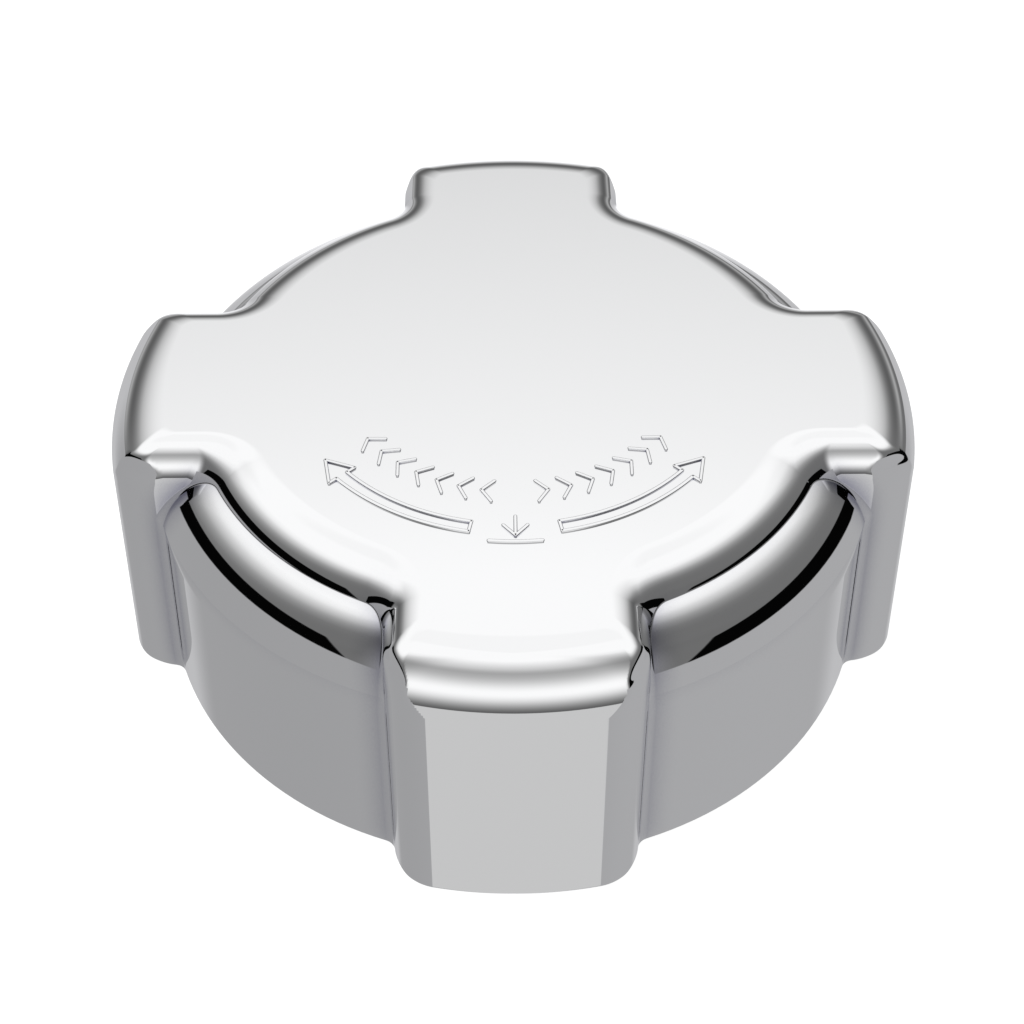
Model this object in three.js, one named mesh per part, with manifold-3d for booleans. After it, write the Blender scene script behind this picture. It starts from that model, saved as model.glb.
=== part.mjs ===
// Push-and-turn fuel filler cap, in millimetres, +Z up.
// The origin is the middle of the rim plane: the rim of the outer cover is at z = 0 and the
// bayonet ears, the gasket and the valve look down into the skirt.
// Four bodies move: the knob (cover, inner body, bayonet ring, screws) pushes down and turns on
// the stem of the valve housing, and two small valves lift inside that stem.

import * as THREE from 'three';
import { mergeVertices } from 'three/addons/utils/BufferGeometryUtils.js';
import Module from 'manifold-3d';

const wasm = await Module();
wasm.setup();

// ---- driving dimensions ----

const TAU = 2 * Math.PI;
const LOBES = 4;

const COVER = {
  height: 47.4,
  lobeRadius: 62.5,        // outer face of a lobe where its wall meets the top rounding
  lobeHalfWidth: 18.2,
  lobeCorner: 7.1,         // vertical corners of a lobe
  plateRadius: 50.3,       // raised top between two lobes
  plateCorner: 5,          // hollow corner where the raised top runs into a lobe
  topRounding: 9,
  skirtRadius: 57.3,
  shoulderHeight: 45.1,
  shoulderRounding: 14.5,
  draft: 1.6,              // degrees, the lobes widen towards the rim
  wall: 2.5,
};
const MARK = { radius: 34, halfWidth: 1.1, relief: 0.3, spread: 36, head: 3.4 };

const SCREW = { circle: 55.3, shaft: 2, hole: 2.2, head: 3.7, top: 41, headHeight: 2 };
const BOSS = { radius: 3.7, bottom: 34.4, pilotTop: 42.5 };

const RING = {
  bottom: 3, top: 5, inner: 49.3, outer: 53.3,
  ears: 3, earReach: 46, earHalfAngle: 14, tabHalfWidth: 7, tabReach: 59.4,
};
const DRUM = { inner: 50.5, outer: 53.5, bottom: 5.1, top: 34 };
const HUB = { bore: 12.95, boss: 19, plateBottom: 31, bossTop: 34.5, ribTop: 44.6 };
const RIBS = { count: 8, thickness: 2.2, inner: 19.8, outer: 40.5 };
const GUSSETS = { thickness: 2, inner: 30, bottom: 24 };
const POST = { radius: 4.3, flange: 2.5, flangeHalfWidth: 9, flangeReach: 59.2 };

const STEM = {
  outer: 12.5, inner: 10, bottom: 2.8, top: 40.5,
  floorBottom: 4.5, floorTop: 7, port: 6.2, seatLip: 0.6, seatLipWidth: 1,
  screenPocket: 9.4, flange: 19, flangeBottom: 8.6, flangeTop: 11.6,
  ringGrooveInner: 14.2, ringGrooveOuter: 16.4, ringGrooveDepth: 1.4,
  clipGroove: 11.3, clipBottom: 37.85, clipTop: 38.95,
};
const PAN = {
  plateBottom: 11.7, plateTop: 12.9, wallInner: 33.5, wallOuter: 34.7, lip: 35.4, lipTop: 9.6, lipBottom: 8.6,
};
const GASKET = { inner: 35, outer: 44.5, bottom: 10, top: 12.9, edge: 0.8 };
const DISC = { bottom: 13, top: 14.5, outer: 47, lipInner: 45.5, lipBottom: 11.2, step: 20.5 };
const NUT = { acrossFlats: 30, bottom: 14.6, top: 19.4, chamfer: 1.2, slack: 0.15 };
const WEAR = { inner: 12.75, outer: 19, bottom: 37.1, top: 37.8 };
const CLIP = { inner: 11.45, outer: 14.6, lug: 16.6, bottom: 37.9, top: 38.9, opening: 26 };
const THRUST = { inner: 14, outer: 20.5, bottom: 29.5, top: 30.95 };

const POPPET = {
  radius: 9.2, bottom: 9, top: 10.6, bore: 2.4, hub: 3.4, hubTop: 12.6, vents: 4, ventCircle: 3.7, vent: 0.5,
};
const POPPET_SEAL = { inner: 5.2, outer: 8.7, bottom: 7.7, top: 8.9 };
const VACUUM = { disc: 4.7, bottom: 6.3, top: 7.5, stem: 1.8, stemTop: 17 };
const VACUUM_SEAL = { inner: 2, outer: 4.5, bottom: 7.6, top: 8.9 };
const KEEPER = { inner: 1.9, outer: 5.3, bottom: 15.1, top: 16.1 };
const PLUG = {
  radius: 9.8, bottom: 24, top: 27.6, port: 2, slotWidth: 2.2, slotDepth: 1.4, vents: 4, ventCircle: 5.8, vent: 1.3,
};
const SCREEN = { radius: 9.2, bottom: 3.2, top: 4.1, hole: 0.75, rings: [3, 6], holesPerRing: [6, 12] };

// wire is the radius of the wire, closing draws the end turns together, steps and sides set the facets
const MAIN_SPRING = {
  lowRadius: 26, highRadius: 17.4, wire: 1.1, bottom: 14.6, top: 29.4, turns: 4.25, closing: 0.6, steps: 76, sides: 3,
};
const PRESSURE_SPRING = {
  lowRadius: 7.6, highRadius: 7.6, wire: 0.55, bottom: 10.7, top: 23.9, turns: 6, closing: 0.45, steps: 66, sides: 3,
};
const VACUUM_SPRING = {
  lowRadius: 4.5, highRadius: 4.5, wire: 0.35, bottom: 10.7, top: 15, turns: 2.5, closing: 0.3, steps: 28, sides: 2,
};

// ---- materials ----

const FINISH = {
  chrome: { color: 0xd9dbdd, roughness: 0.05, metalness: 1 },
  zincPlate: { color: 0xb9bcb8, roughness: 0.35, metalness: 1 },
  springSteel: { color: 0x8f9296, roughness: 0.3, metalness: 1 },
  brass: { color: 0xc2a25a, roughness: 0.3, metalness: 1 },
  blackNylon: { color: 0x1b1c1e, roughness: 0.6, metalness: 0 },
  acetal: { color: 0xe4e2d8, roughness: 0.45, metalness: 0 },
  rubber: { color: 0x18181a, roughness: 0.85, metalness: 0 },
};

// ---- from three.js geometry to solids and back ----

// Welds a geometry, drops the slivers that the weld closes, and makes its faces point out.
function closedMesh(geometry) {
  const bare = geometry.clone();
  bare.deleteAttribute('normal');
  bare.deleteAttribute('uv');
  const welded = mergeVertices(bare, 1e-4);
  const position = welded.getAttribute('position');
  const index = welded.getIndex();
  const a = new THREE.Vector3();
  const b = new THREE.Vector3();
  const c = new THREE.Vector3();
  const triangles = [];
  let volume = 0;
  for (let i = 0; i < index.count; i += 3) {
    const corners = [index.getX(i), index.getX(i + 1), index.getX(i + 2)];
    if (new Set(corners).size < 3) continue;
    a.fromBufferAttribute(position, corners[0]);
    b.fromBufferAttribute(position, corners[1]);
    c.fromBufferAttribute(position, corners[2]);
    volume += a.dot(b.cross(c));
    triangles.push(corners);
  }
  if (volume < 0) triangles.forEach((corners) => corners.reverse());
  return { vertProperties: new Float32Array(position.array), triVerts: new Uint32Array(triangles.flat()) };
}

function solid(geometry) {
  const { vertProperties, triVerts } = closedMesh(geometry);
  return new wasm.Manifold(new wasm.Mesh({ numProp: 3, vertProperties, triVerts }));
}

function geometryOf(manifold) {
  const { vertProperties, triVerts } = manifold.getMesh();
  const geometry = new THREE.BufferGeometry();
  geometry.setAttribute('position', new THREE.BufferAttribute(vertProperties, 3));
  geometry.setIndex(new THREE.BufferAttribute(triVerts, 1));
  return geometry;
}

function meshOf(name, manifold, finish) {
  const faceted = geometryOf(manifold).toNonIndexed();
  faceted.computeVertexNormals();
  const mesh = new THREE.Mesh(faceted, new THREE.MeshStandardMaterial(finish));
  mesh.name = name;
  return mesh;
}

const joined = (solids) => solids.reduce((whole, piece) => whole.add(piece));

// ---- shape helpers ----

const radians = THREE.MathUtils.degToRad;

// A solid of revolution about Z from a closed profile of [radius, height] corners.
function turned(profile, segments = 32) {
  const points = profile.map(([radius, height]) => new THREE.Vector2(radius, height));
  points.push(points[0].clone());
  return solid(new THREE.LatheGeometry(points, segments).rotateX(Math.PI / 2));
}

// A flat ring or, with no inner radius, a disc.
function washer(inner, outer, bottom, top, segments = 32) {
  return turned([[inner, bottom], [outer, bottom], [outer, top], [inner, top]], segments);
}

function rod(radius, bottom, top, x = 0, y = 0, segments = 16) {
  const cylinder = new THREE.CylinderGeometry(radius, radius, top - bottom, segments);
  cylinder.rotateX(Math.PI / 2);
  cylinder.translate(x, y, (top + bottom) / 2);
  return solid(cylinder);
}

// A block that lies along +X from one radius to another, then turned about Z.
function radialBlock(innerX, outerX, width, bottom, top, degrees = 0) {
  const box = new THREE.BoxGeometry(outerX - innerX, width, top - bottom);
  box.translate((outerX + innerX) / 2, 0, (top + bottom) / 2);
  box.rotateZ(radians(degrees));
  return solid(box);
}

const polar = (radius, angle) => new THREE.Vector2(radius * Math.cos(angle), radius * Math.sin(angle));

// Points on an arc from one angle to another, both ends included.
function arc(x, y, radius, from, to, pieces) {
  const centre = new THREE.Vector2(x, y);
  const points = [];
  for (let i = 0; i <= pieces; i += 1) {
    points.push(polar(radius, from + (to - from) * i / pieces).add(centre));
  }
  return points;
}

function slab(points, bottom, top) {
  const shape = new THREE.Shape(points);
  const geometry = new THREE.ExtrudeGeometry(shape, { depth: top - bottom, bevelEnabled: false });
  return solid(geometry.translate(0, 0, bottom));
}

// A closed skin over rings of points that all have the same number of points.
function lofted(rings) {
  const count = rings[0].length;
  const corners = rings.flatMap((ring) => ring.flatMap((point) => [point.x, point.y, point.z]));
  const faces = [];
  for (let level = 0; level < rings.length - 1; level += 1) {
    for (let i = 0; i < count; i += 1) {
      const next = (i + 1) % count;
      const low = level * count;
      const high = low + count;
      faces.push(low + i, low + next, high + next, low + i, high + next, high + i);
    }
  }
  const lastRing = (rings.length - 1) * count;
  const cap = (ring) => THREE.ShapeUtils.triangulateShape(ring.map((p) => new THREE.Vector2(p.x, p.y)), []);
  for (const [i, j, k] of cap(rings[0])) faces.push(i, k, j);
  for (const [i, j, k] of cap(rings.at(-1))) faces.push(lastRing + i, lastRing + j, lastRing + k);
  const geometry = new THREE.BufferGeometry();
  geometry.setAttribute('position', new THREE.BufferAttribute(new Float32Array(corners), 3));
  geometry.setIndex(faces);
  return solid(geometry);
}

// ---- springs ----

// A coil whose end turns lie closer together than its middle turns.
class Coil extends THREE.Curve {
  constructor(spring) {
    super();
    this.spring = spring;
  }

  getPoint(t, target = new THREE.Vector3()) {
    const { lowRadius, highRadius, wire, bottom, top, turns, closing } = this.spring;
    const rise = t - closing * Math.sin(TAU * t) / TAU;
    const radius = lowRadius + (highRadius - lowRadius) * t;
    const angle = TAU * turns * t;
    const height = bottom + wire + (top - bottom - 2 * wire) * rise;
    return target.set(radius * Math.cos(angle), radius * Math.sin(angle), height);
  }
}

function coilSpring(spring) {
  const section = new THREE.Shape().absarc(0, 0, spring.wire, 0, TAU, false);
  return solid(new THREE.ExtrudeGeometry(section, {
    extrudePath: new Coil(spring),
    steps: spring.steps,
    curveSegments: spring.sides,
    bevelEnabled: false,
  }));
}

// ---- outer cover ----

// The cross-shaped plan of the cover, moved inwards by inset (outwards when it is negative).
function crossOutline(inset) {
  const { lobeRadius, lobeHalfWidth, lobeCorner, plateRadius, plateCorner } = COVER;
  const cornerY = lobeHalfWidth - lobeCorner;
  const cornerX = Math.sqrt((lobeRadius - lobeCorner) ** 2 - cornerY ** 2);
  const cornerEnd = Math.atan2(cornerY, cornerX);
  const hollowY = lobeHalfWidth + plateCorner;
  const hollowX = Math.sqrt((plateRadius + plateCorner) ** 2 - hollowY ** 2);
  const hollowEnd = Math.atan2(hollowY, hollowX);
  const corner = Math.max(lobeCorner - inset, 0.05);
  const cornerShift = lobeCorner - inset < 0.05 ? inset + 0.05 - lobeCorner : 0;
  const hollow = plateCorner + inset;
  const plate = plateRadius - inset;
  const half = [
    ...arc(0, 0, lobeRadius - inset, 0, cornerEnd, 3).slice(0, -1),
    ...arc(cornerX - cornerShift, cornerY - cornerShift, corner, cornerEnd, Math.PI / 2, 3),
    ...arc(hollowX, hollowY, hollow, 1.5 * Math.PI, Math.PI + hollowEnd, 3),
    ...arc(0, 0, plate, hollowEnd, Math.PI / LOBES, 4).slice(1),
  ];
  const mirrored = half.slice(1, -1).reverse().map((point) => new THREE.Vector2(point.x, -point.y));
  const lobe = [...mirrored, ...half];
  const origin = new THREE.Vector2();
  const outline = [];
  for (let k = 0; k < LOBES; k += 1) {
    outline.push(...lobe.map((point) => point.clone().rotateAround(origin, k * TAU / LOBES)));
  }
  return outline;
}

const ring3 = (points, height) => points.map((point) => new THREE.Vector3(point.x, point.y, height));

// The cross with its drafted sides and rounded top edge, made smaller all round by skin.
function crossBody(skin, bottom, steps) {
  const { height, topRounding, draft } = COVER;
  const wallTop = height - topRounding;
  const spread = (wallTop - bottom) * Math.tan(radians(draft));
  const rings = [ring3(crossOutline(skin - spread), bottom)];
  const radius = topRounding - skin;
  for (let i = 0; i <= steps; i += 1) {
    const angle = i / steps * Math.PI / 2;
    rings.push(ring3(crossOutline(skin + radius * (1 - Math.cos(angle))), wallTop + radius * Math.sin(angle)));
  }
  return lofted(rings);
}

// The round skirt with its rounded shoulder, made smaller all round by skin.
function skirtBody(skin, bottom, steps) {
  const { skirtRadius, shoulderHeight, shoulderRounding } = COVER;
  const centreRadius = skirtRadius - shoulderRounding;
  const centreHeight = shoulderHeight - shoulderRounding;
  const rounding = arc(centreRadius, centreHeight, shoulderRounding - skin, 0, Math.PI / 2, steps);
  const profile = [[0, bottom], [skirtRadius - skin, bottom], ...rounding.map((p) => [p.x, p.y]), [0, shoulderHeight - skin]];
  return turned(profile, 64);
}

// A raised curved arrow on the front of the top, for the turning direction.
function turnMark() {
  const { radius, halfWidth, relief, spread, head } = MARK;
  const front = -Math.PI / 2;
  const half = radians(spread);
  const from = front - half;
  const to = front + half;
  const headAngle = head / radius;
  const barb = 2.6 * halfWidth;
  const points = [
    ...arc(0, 0, radius + halfWidth, from, to, 12),
    polar(radius + barb, to),
    polar(radius, to + headAngle),
    polar(radius - barb, to),
    ...arc(0, 0, radius - halfWidth, to, from, 12),
  ];
  return slab(points, COVER.height - 1, COVER.height + relief);
}

function outerCover() {
  const outside = joined([crossBody(0, 0, 4), skirtBody(0, 0, 4), turnMark()]);
  const cavity = crossBody(COVER.wall, -1, 1).add(skirtBody(COVER.wall, -1, 3));
  const shell = outside.subtract(cavity);
  const boss = (x, y) => rod(BOSS.radius, BOSS.bottom, COVER.height - COVER.wall + 1, x, y, 12);
  const pilot = (x, y) => rod(SCREW.hole, BOSS.bottom - 1, BOSS.pilotTop, x, y, 12);
  const bosses = screwPlaces().map(([x, y]) => boss(x, y).intersect(crossBody(1, 1, 1)));
  const pilots = screwPlaces().map(([x, y]) => pilot(x, y));
  return joined([shell, ...bosses]).subtract(joined(pilots));
}

function screwPlaces() {
  const places = [];
  for (let k = 0; k < LOBES; k += 1) places.push(polar(SCREW.circle, k * TAU / LOBES).toArray());
  return places;
}

function coverScrew([x, y]) {
  const { shaft, head, top, headHeight } = SCREW;
  const under = RING.bottom - 0.05;
  const low = under - headHeight;
  const profile = [
    [0, low], [head - 1, low], [head, low + 0.8], [head, under],
    [shaft, under], [shaft, top - 2], [0.4, top], [0, top],
  ];
  const slotDepth = 1.1;
  const slot = (degrees) => radialBlock(-2.1, 2.1, 0.8, low - 1, low + slotDepth, degrees);
  return turned(profile, 16).subtract(slot(0).add(slot(90))).translate([x, y, 0]);
}

// ---- inner body and bayonet ring ----

function innerBody() {
  const spacing = 360 / RIBS.count;
  const solids = [
    washer(DRUM.inner, DRUM.outer, DRUM.bottom, DRUM.top, 48),
    washer(HUB.bore, DRUM.outer, HUB.plateBottom, DRUM.top, 48),
    washer(HUB.bore, HUB.boss, HUB.plateBottom, HUB.bossTop, 48),
  ];
  for (let i = 0; i < RIBS.count; i += 1) {
    const degrees = (i + 0.5) * spacing;
    solids.push(radialBlock(RIBS.inner, RIBS.outer, RIBS.thickness, DRUM.top - 1, HUB.ribTop, degrees));
    solids.push(radialBlock(GUSSETS.inner, DRUM.inner + 1, GUSSETS.thickness, GUSSETS.bottom, DRUM.top - 1, degrees));
  }
  for (let k = 0; k < LOBES; k += 1) {
    const [x, y] = screwPlaces()[k];
    const degrees = k * 360 / LOBES;
    solids.push(rod(POST.radius, DRUM.bottom, DRUM.top, x, y, 12));
    const flangeTop = DRUM.bottom + POST.flange;
    solids.push(radialBlock(DRUM.inner + 1, POST.flangeReach, 2 * POST.flangeHalfWidth, DRUM.bottom, flangeTop, degrees));
  }
  const holes = screwPlaces().map(([x, y]) => rod(SCREW.hole, 0, HUB.ribTop, x, y, 10));
  const stemHole = rod(HUB.bore, 0, HUB.ribTop + 1, 0, 0, 48);
  return joined(solids).subtract(joined([...holes, stemHole]));
}

function bayonetRing() {
  const { bottom, top, inner, outer, ears, earReach, earHalfAngle, tabHalfWidth, tabReach } = RING;
  const solids = [washer(inner, outer, bottom, top, 48)];
  for (let i = 0; i < ears; i += 1) {
    const middle = TAU * i / ears + Math.PI / 2;
    const half = radians(earHalfAngle);
    const ear = [
      ...arc(0, 0, inner + 1, middle - half, middle + half, 6),
      ...arc(0, 0, earReach, middle + half, middle - half, 6),
    ];
    solids.push(slab(ear, bottom, top));
  }
  for (let k = 0; k < LOBES; k += 1) {
    solids.push(radialBlock(inner + 1, tabReach, 2 * tabHalfWidth, bottom, top, k * 360 / LOBES));
  }
  const holes = screwPlaces().map(([x, y]) => rod(SCREW.hole, bottom - 1, top + 1, x, y, 12));
  return joined(solids).subtract(joined(holes));
}

// ---- seal carrier ----

function valveHousing() {
  const s = STEM;
  const profile = [
    [s.screenPocket, s.bottom], [s.outer, s.bottom], [s.outer, s.flangeBottom],
    [s.flange, s.flangeBottom], [s.flange, s.flangeTop],
    [s.ringGrooveOuter, s.flangeTop], [s.ringGrooveOuter, s.flangeTop - s.ringGrooveDepth],
    [s.ringGrooveInner, s.flangeTop - s.ringGrooveDepth], [s.ringGrooveInner, s.flangeTop],
    [s.outer, s.flangeTop], [s.outer, s.clipBottom], [s.clipGroove, s.clipBottom],
    [s.clipGroove, s.clipTop], [s.outer, s.clipTop], [s.outer, s.top - 0.8], [s.outer - 0.8, s.top],
    [s.inner, s.top], [s.inner, s.floorTop], [s.port + s.seatLipWidth, s.floorTop],
    [s.port + s.seatLipWidth, s.floorTop + s.seatLip], [s.port, s.floorTop + s.seatLip],
    [s.port, s.floorBottom], [s.screenPocket, s.floorBottom],
  ];
  const flats = (side) => {
    const box = new THREE.BoxGeometry(60, 10, s.flangeTop - s.flangeBottom + 2);
    box.translate(0, side * (16.6 + 5), (s.flangeTop + s.flangeBottom) / 2);
    return solid(box);
  };
  return turned(profile, 32).subtract(flats(1).add(flats(-1)));
}

function sealDisc() {
  const d = DISC;
  const bore = STEM.outer + 0.2;
  const dish = 0.8;
  return turned([
    [bore, d.bottom], [d.lipInner, d.bottom], [d.lipInner, d.lipBottom], [d.outer - 0.3, d.lipBottom],
    [d.outer, d.lipBottom + 0.4], [d.outer, d.top - 1], [d.outer - 1, d.top],
    [d.step + 11, d.top], [d.step + 10, d.top - dish / 2], [d.step + 1, d.top - dish / 2], [d.step, d.top], [bore, d.top],
  ], 40);
}

function gasketRetainer() {
  const p = PAN;
  const bore = STEM.outer + 0.2;
  return turned([
    [bore, p.plateBottom], [p.wallInner, p.plateBottom], [p.wallInner, p.lipBottom], [p.lip, p.lipBottom],
    [p.lip, p.lipTop], [p.wallOuter, p.lipTop], [p.wallOuter, p.plateTop], [bore, p.plateTop],
  ]);
}

function neckGasket() {
  const { inner, outer, bottom, top, edge } = GASKET;
  return turned([
    [inner, bottom + edge], [inner + edge, bottom], [outer - edge, bottom], [outer, bottom + edge],
    [outer, top - edge], [outer - edge, top], [inner + edge, top], [inner, top - edge],
  ], 40);
}

function housingNut() {
  const { acrossFlats, bottom, top, chamfer, slack } = NUT;
  const corner = acrossFlats / 2 / Math.cos(Math.PI / 6);
  const hexagon = rod(corner, bottom, top, 0, 0, 6);
  const flat = acrossFlats / 2;
  const envelope = turned([
    [0, bottom], [corner + 0.1, bottom], [corner + 0.1, top - chamfer], [flat - 0.2, top], [0, top],
  ], 24);
  return hexagon.intersect(envelope).subtract(rod(STEM.outer + slack, bottom - 1, top + 1, 0, 0, 32));
}

function housingORing() {
  const section = 0.6;
  const radius = (STEM.ringGrooveInner + STEM.ringGrooveOuter) / 2;
  const height = STEM.flangeTop - section - 0.05;
  return solid(new THREE.TorusGeometry(radius, section, 6, 24).translate(0, 0, height));
}

function retainingRing() {
  const { inner, outer, lug, bottom, top, opening } = CLIP;
  const half = radians(opening / 2);
  const start = Math.PI / 2 + half;
  const end = Math.PI / 2 - half + TAU;
  const lugWidth = radians(14);
  const plan = [
    ...arc(0, 0, lug, start, start + lugWidth, 3),
    ...arc(0, 0, outer, start + lugWidth + 0.05, end - lugWidth - 0.05, 18),
    ...arc(0, 0, lug, end - lugWidth, end, 3),
    ...arc(0, 0, inner, end, start, 22),
  ];
  return slab(plan, bottom, top);
}

// ---- valves ----

function drillings(count, circle, radius, bottom, top, segments = 8) {
  const holes = [];
  for (let i = 0; i < count; i += 1) {
    const angle = TAU * i / count;
    holes.push(rod(radius, bottom, top, circle * Math.cos(angle), circle * Math.sin(angle), segments));
  }
  return joined(holes);
}

function pressurePoppet() {
  const { radius, bottom, top, bore, hub, hubTop, vents, ventCircle, vent } = POPPET;
  const body = turned([
    [bore, bottom], [radius, bottom], [radius, top - 0.3], [radius - 0.3, top], [hub, top], [hub, hubTop], [bore, hubTop],
  ], 24);
  return body.subtract(drillings(vents, ventCircle, vent, bottom - 1, hubTop + 1));
}

function vacuumValve() {
  const { disc, bottom, top, stem, stemTop } = VACUUM;
  return turned([
    [0, bottom], [disc - 0.5, bottom], [disc, bottom + 0.4], [disc, top], [stem, top],
    [stem, stemTop - 0.4], [stem - 0.4, stemTop], [0, stemTop],
  ], 20);
}

function valvePlug() {
  const { radius, bottom, top, port, slotWidth, slotDepth, vents, ventCircle, vent } = PLUG;
  const body = turned([[port, bottom], [radius, bottom], [radius, top], [port, top]], 24);
  const slot = radialBlock(-radius - 1, radius + 1, slotWidth, top - slotDepth, top + 1, 45);
  return body.subtract(slot).subtract(drillings(vents, ventCircle, vent, bottom - 1, top + 1));
}

function ventScreen() {
  const { radius, bottom, top, hole, rings, holesPerRing } = SCREEN;
  const middle = rod(hole, bottom - 1, top + 1, 0, 0, 6);
  const holes = rings.map((circle, i) => drillings(holesPerRing[i], circle, hole, bottom - 1, top + 1, 6));
  return rod(radius, bottom, top, 0, 0, 24).subtract(joined([middle, ...holes]));
}

// ---- the assembly ----

const knob = new THREE.Group();
knob.add(meshOf('outer_cover', outerCover(), FINISH.chrome));
knob.add(meshOf('inner_body', innerBody(), FINISH.blackNylon));
knob.add(meshOf('bayonet_ring', bayonetRing(), FINISH.zincPlate));
screwPlaces().forEach((place, i) => knob.add(meshOf(`cover_screw_${i + 1}`, coverScrew(place), FINISH.zincPlate)));

const slipRing = new THREE.Group();
const thrustWasher = washer(THRUST.inner, THRUST.outer, THRUST.bottom, THRUST.top);
slipRing.add(meshOf('thrust_washer', thrustWasher, FINISH.acetal));

const sealCarrier = new THREE.Group();
sealCarrier.add(meshOf('seal_disc', sealDisc(), FINISH.zincPlate));
sealCarrier.add(meshOf('neck_gasket', neckGasket(), FINISH.rubber));
sealCarrier.add(meshOf('gasket_retainer', gasketRetainer(), FINISH.zincPlate));
sealCarrier.add(meshOf('valve_housing', valveHousing(), FINISH.brass));
sealCarrier.add(meshOf('housing_nut', housingNut(), FINISH.brass));
sealCarrier.add(meshOf('housing_o_ring', housingORing(), FINISH.rubber));
sealCarrier.add(meshOf('wear_washer', washer(WEAR.inner, WEAR.outer, WEAR.bottom, WEAR.top), FINISH.acetal));
sealCarrier.add(meshOf('retaining_ring', retainingRing(), FINISH.springSteel));
sealCarrier.add(meshOf('main_spring', coilSpring(MAIN_SPRING), FINISH.springSteel));
sealCarrier.add(meshOf('vent_screen', ventScreen(), FINISH.brass));
sealCarrier.add(meshOf('valve_plug', valvePlug(), FINISH.brass));
sealCarrier.add(meshOf('pressure_spring', coilSpring(PRESSURE_SPRING), FINISH.springSteel));

const pressureValve = new THREE.Group();
const { inner: sealInner, outer: sealOuter, bottom: sealBottom, top: sealTop } = POPPET_SEAL;
pressureValve.add(meshOf('pressure_poppet', pressurePoppet(), FINISH.acetal));
pressureValve.add(meshOf('poppet_seal', washer(sealInner, sealOuter, sealBottom, sealTop, 24), FINISH.rubber));
pressureValve.add(meshOf('vacuum_spring', coilSpring(VACUUM_SPRING), FINISH.springSteel));

const vacuumGroup = new THREE.Group();
const vacuumSeal = washer(VACUUM_SEAL.inner, VACUUM_SEAL.outer, VACUUM_SEAL.bottom, VACUUM_SEAL.top, 24);
vacuumGroup.add(meshOf('vacuum_disc', vacuumValve(), FINISH.brass));
vacuumGroup.add(meshOf('vacuum_seal', vacuumSeal, FINISH.rubber));
vacuumGroup.add(meshOf('vacuum_keeper', washer(KEEPER.inner, KEEPER.outer, KEEPER.bottom, KEEPER.top, 24), FINISH.springSteel));

const fillerCap = new THREE.Group();
fillerCap.name = 'fuel_filler_cap';
fillerCap.add(knob, slipRing, sealCarrier, pressureValve, vacuumGroup);

export default fillerCap;
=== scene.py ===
"""Looks of a push-and-turn fuel filler cap: chromed cover, nylon body, steel bayonet ring and valve stem.

Lengths in the constants are millimetres; meshes are made in metres.
"""

import math

import bmesh
import bpy
import numpy as np
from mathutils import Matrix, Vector, kdtree


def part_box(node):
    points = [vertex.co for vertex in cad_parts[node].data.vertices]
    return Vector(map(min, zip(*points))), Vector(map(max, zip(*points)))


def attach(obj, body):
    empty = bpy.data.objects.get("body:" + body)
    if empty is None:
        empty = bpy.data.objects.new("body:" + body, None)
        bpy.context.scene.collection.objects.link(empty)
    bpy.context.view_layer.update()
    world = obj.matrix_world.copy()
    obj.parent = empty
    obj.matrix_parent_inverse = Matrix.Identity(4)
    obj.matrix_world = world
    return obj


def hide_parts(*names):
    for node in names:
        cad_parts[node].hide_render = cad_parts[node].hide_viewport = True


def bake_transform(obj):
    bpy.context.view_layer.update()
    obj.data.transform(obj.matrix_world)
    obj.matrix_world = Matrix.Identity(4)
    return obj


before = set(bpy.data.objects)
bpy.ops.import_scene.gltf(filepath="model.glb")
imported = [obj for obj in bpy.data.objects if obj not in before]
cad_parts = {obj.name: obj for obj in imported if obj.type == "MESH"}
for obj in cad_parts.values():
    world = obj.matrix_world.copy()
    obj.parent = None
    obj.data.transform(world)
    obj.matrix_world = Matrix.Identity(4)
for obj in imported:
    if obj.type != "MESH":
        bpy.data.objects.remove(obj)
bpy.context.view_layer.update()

MM = 0.001
TAU = 2 * math.pi
LOBES = 4

# ---- cover dimensions; the height and the reach of a lobe come from the CAD box ----

RELIEF = 0.3
RIM_ROUNDING = 0.6
INNER_RIM_ROUNDING = 0.4
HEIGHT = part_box("outer_cover")[1].z / MM - RELIEF
TIP_ROUNDING = 9.0      # over the lobe ends and the round plate
SIDE_ROUNDING = 5.6     # over the sides of a lobe
DRAFT = math.radians(1.6)
LOBE_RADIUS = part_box("outer_cover")[1].x / MM - (HEIGHT - TIP_ROUNDING) * math.tan(DRAFT)
LOBE_HALF_WIDTH = 18.45
LOBE_CORNER = 7.5
TOP_CORNER_BLEND = 2.6  # softness of the corner where the tip's rounding meets the side's, at the top
LOW_CORNER_BLEND = 8.0  # and at the foot of those roundings
CORNER_BLEND_TOP = 1.2  # depths under the top between which the one goes over into the other
CORNER_BLEND_FOOT = 4.2
CREASE_BLEND = 0.5      # softness of the crease where those cut into the upright corner
CENTRE_SHIFT = 4.5      # from the upright corner's centre to a point inside the lobe at every height
PLATE_RADIUS = 50.3
PLATE_CORNER = 5.0
SKIRT_RADIUS = 57.3
SHOULDER_HEIGHT = 44.6
SHOULDER_ROUNDING = 14.5
WALL = 2.5
FOOT_FILLET = 0.5       # hollow fillet where the raised top meets the shoulder
CORNER_FILLET = 2.2     # hollow fillet down the sides of a lobe


# ---- small tools ----

def unit(vectors):
    return vectors / np.linalg.norm(vectors, axis=-1, keepdims=True)


def smooth_step(low, high, value):
    share = np.clip((value - low) / (high - low), 0, 1)
    return share * share * (3 - 2 * share)


def soft_min(a, b, softness):
    """The smaller of two lengths, with a rounded change from one to the other."""
    softness = np.maximum(softness, 1e-9)
    near = np.clip(softness - np.abs(a - b), 0, None)
    return np.minimum(a, b) - near * near / (4 * softness)


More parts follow.
